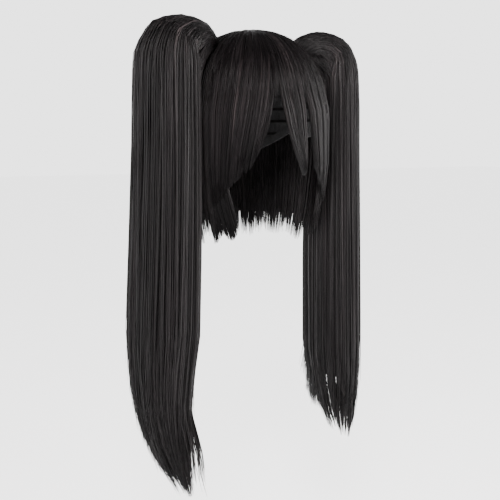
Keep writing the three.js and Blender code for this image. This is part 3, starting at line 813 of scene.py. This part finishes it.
def root_strands(name, node, tail, count, clumps, points):
    """Strands that leave the crown under the arch and join the inner side of the pigtail."""
    clump = rng.integers(0, clumps, count)
    front = np.where(rng.random(clumps) < ROOT_FRONT_SHARE, -1, 1)
    turn = (front * np.radians(rng.uniform(*JOIN_TURN, clumps)))[clump] + rng.normal(0, 0.03, count)
    ring = rng.uniform(0.93, 1.01, clumps)[clump]
    share = np.linspace(0, 1, SHORT_PATH_POINTS)[None, :]
    last = rng.uniform(*JOIN_END, clumps)[clump] + rng.normal(0, 0.2, count)
    row = JOIN_ROW + (last - JOIN_ROW)[:, None] * share
    across = (ring * np.cos(turn))[:, None] * np.ones_like(row)
    along = (ring * np.sin(turn))[:, None] * np.ones_like(row)
    joined = tail_point(row, tail, across, along)
    begin = front[clump] * np.radians(rng.uniform(*START_TURN, count))
    start_row = rng.uniform(*START_ROW, count)
    start = tail_point(start_row, tail, np.cos(begin), np.sin(begin))[:, None, :]
    blend = smooth(share, 0, 0.38)[..., None]
    paths = clear_of_head(start * (1 - blend) + joined * blend)
    facing = unit(paths - tail_point(row, tail, 0 * across, 0 * along))
    both = resample(np.concatenate([paths, facing], 2), np.linspace(0, 1, points) ** 1.3)
    shade = tints(clump, points, light=1.3, tip=0.6)
    # Painted shade: the strands are darker where they leave the crown under the arch
    shade = shade * (0.4 + 0.6 * smooth(np.linspace(0, 1, points), 0.05, 0.3))
    size = rng.uniform(0.4, 0.66, count)
    mesh = strand_mesh(name, both[..., :3], unit(both[..., 3:]), size, shade)
    return link(name, mesh, hair_material, "hair", node)


for side, tail in TAILS.items():
    node = "tail_" + side
    root_strands(node + "_root_strands", node, tail, count=300, clumps=40, points=12)
    tail_strands(node + "_strands", node, tail, count=1500, locks=15, clumps=170, points=20)
    tip_strands(node + "_tip_strands", node, tail, count=760, clumps=90, points=8)
    under_layer(node, inset=3.2, depth=340, drawn=0.72)


# Rows of sewn weft and a soft edge band on the inside of the cap
def cap_rim(angle):
    return np.interp(np.minimum(angle, 360 - angle), CAP_RIM["angle"], CAP_RIM["depth"])


def inside_of_cap():
    bm = bmesh.new()
    bm.from_mesh(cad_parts["cap"].data)
    tree = BVHTree.FromBMesh(bm)
    bm.free()
    return tree


cap_tree = inside_of_cap()


def on_cap(angle, depth, off):
    """A point off the inside of the cap, towards the middle where off is negative."""
    form = Vector(head_form(float(angle), float(depth)) * MM)
    middle = Vector((0, 0, form.z + 0.25 * form.xy.length))
    outwards = (form - middle).normalized()
    hit = cap_tree.ray_cast(middle, outwards)[0]
    return (hit or form) + outwards * off * MM


def band(name, angles, depth_of, height, thick, material):
    """A closed strip that lies on the inside of the cap."""
    bm = bmesh.new()
    rings = []
    for angle in angles:
        low = depth_of(angle)
        corners = [(low - height, 0.2), (low, 0.2), (low, -thick), (low - height, -thick)]
        rings.append([bm.verts.new(on_cap(angle, depth, off)) for depth, off in corners])
    whole = abs(angles[-1] - angles[0]) > 359
    if whole:
        rings[-1] = rings[0]
    for before, after in zip(rings, rings[1:]):
        for i in range(4):
            bm.faces.new([before[i], before[(i + 1) % 4], after[(i + 1) % 4], after[i]])
    if not whole:
        bm.faces.new(rings[0][::-1])
        bm.faces.new(rings[-1])
    else:
        bmesh.ops.delete(bm, geom=[vert for vert in bm.verts if not vert.link_faces], context="VERTS")
    bmesh.ops.recalc_face_normals(bm, faces=bm.faces)
    mesh = bpy.data.meshes.new(name)
    bm.to_mesh(mesh)
    bm.free()
    return link(name, mesh, material, "cap_net")


# Each row of weft: its depth, and the angle from the front where it starts on either side
WEFT = {"depth": [34, 50, 66, 82, 98, 114, 130], "angle": [8, 40, 52, 60, 66, 112, 142]}

all_round = np.linspace(0, 360, 73)
band("cap_edge_band", all_round, lambda angle: cap_rim(angle) - 0.5, height=9, thick=0.8,
     material=net_material)
for number, (depth, open_angle) in enumerate(zip(WEFT["depth"], WEFT["angle"]), start=1):
    angles = np.linspace(open_angle, 360 - open_angle, 60)
    band(f"cap_weft_{number}", angles, lambda angle, depth=depth: depth, height=3, thick=0.7,
         material=under_material)


# A pale floor, and soft studio lights
FLOOR_HEIGHT = -0.72
FLOOR_HALF_SIZE = 12
FLOOR_GLOW = 2.08


def make_floor():
    material, tree, shader = nodes_of("floor_white")
    where = tree.nodes.new("ShaderNodeTexCoord")
    noise = add(tree, "ShaderNodeTexNoise", Scale=3.0, Detail=2.0)
    tree.links.new(where.outputs["Object"], noise.inputs["Vector"])
    colour = ramp(tree, noise.outputs["Fac"], [(0.3, 0.9), (0.7, 0.93)])
    tree.links.new(colour.outputs["Color"], shader.inputs["Base Color"])
    shader.inputs["Roughness"].default_value = 0.9
    shader.inputs["Specular IOR Level"].default_value = 0.1
    shader.inputs["Emission Color"].default_value = (1, 1, 1, 1)
    shader.inputs["Emission Strength"].default_value = FLOOR_GLOW
    mesh = bpy.data.meshes.new("floor")
    bm = bmesh.new()
    bmesh.ops.create_grid(bm, x_segments=2, y_segments=2, size=FLOOR_HALF_SIZE)
    bmesh.ops.translate(bm, verts=bm.verts, vec=(0, 0, FLOOR_HEIGHT))
    bm.to_mesh(mesh)
    bm.free()
    mesh.materials.append(material)
    floor = bpy.data.objects.new("floor", mesh)
    bpy.context.scene.collection.objects.link(floor)


LIGHT_COLOUR = (1.0, 0.955, 0.945)


def area_light(name, place, target, size, power):
    data = bpy.data.lights.new(name, "AREA")
    data.shape = "RECTANGLE"
    data.size, data.size_y = size
    data.energy = power
    data.color = LIGHT_COLOUR
    light = bpy.data.objects.new(name, data)
    light.location = place
    aim = np.array(target) - np.array(place)
    tilt = math.atan2(math.hypot(aim[0], aim[1]), -aim[2])
    light.rotation_euler = (tilt, 0, math.atan2(aim[0], -aim[1]) + math.pi)
    bpy.context.scene.collection.objects.link(light)


def make_light():
    world = bpy.data.worlds.new("studio")
    world.use_nodes = True
    tree = world.node_tree
    background = tree.nodes["Background"]
    where = tree.nodes.new("ShaderNodeTexCoord")
    height = tree.nodes.new("ShaderNodeSeparateXYZ")
    tree.links.new(where.outputs["Generated"], height.inputs["Vector"])
    sky = ramp(tree, height.outputs["Z"], [(0.26, 1.0), (0.62, 0.05)])
    sky.color_ramp.interpolation = "EASE"
    tree.links.new(sky.outputs["Color"], background.inputs["Color"])
    background.inputs["Strength"].default_value = 3.0
    bpy.context.scene.world = world
    area_light("key", place=(1.3, -1.9, 0.2), target=(0, 0, -0.2), size=(1.0, 1.0), power=95)
    area_light("fill", place=(-1.8, -1.5, 0.2), target=(0, 0, -0.2), size=(1.0, 1.0), power=45)
    area_light("top", place=(-0.9, -1.5, 1.1), target=(0, 0, 0), size=(0.6, 0.6), power=46)


make_floor()
make_light()
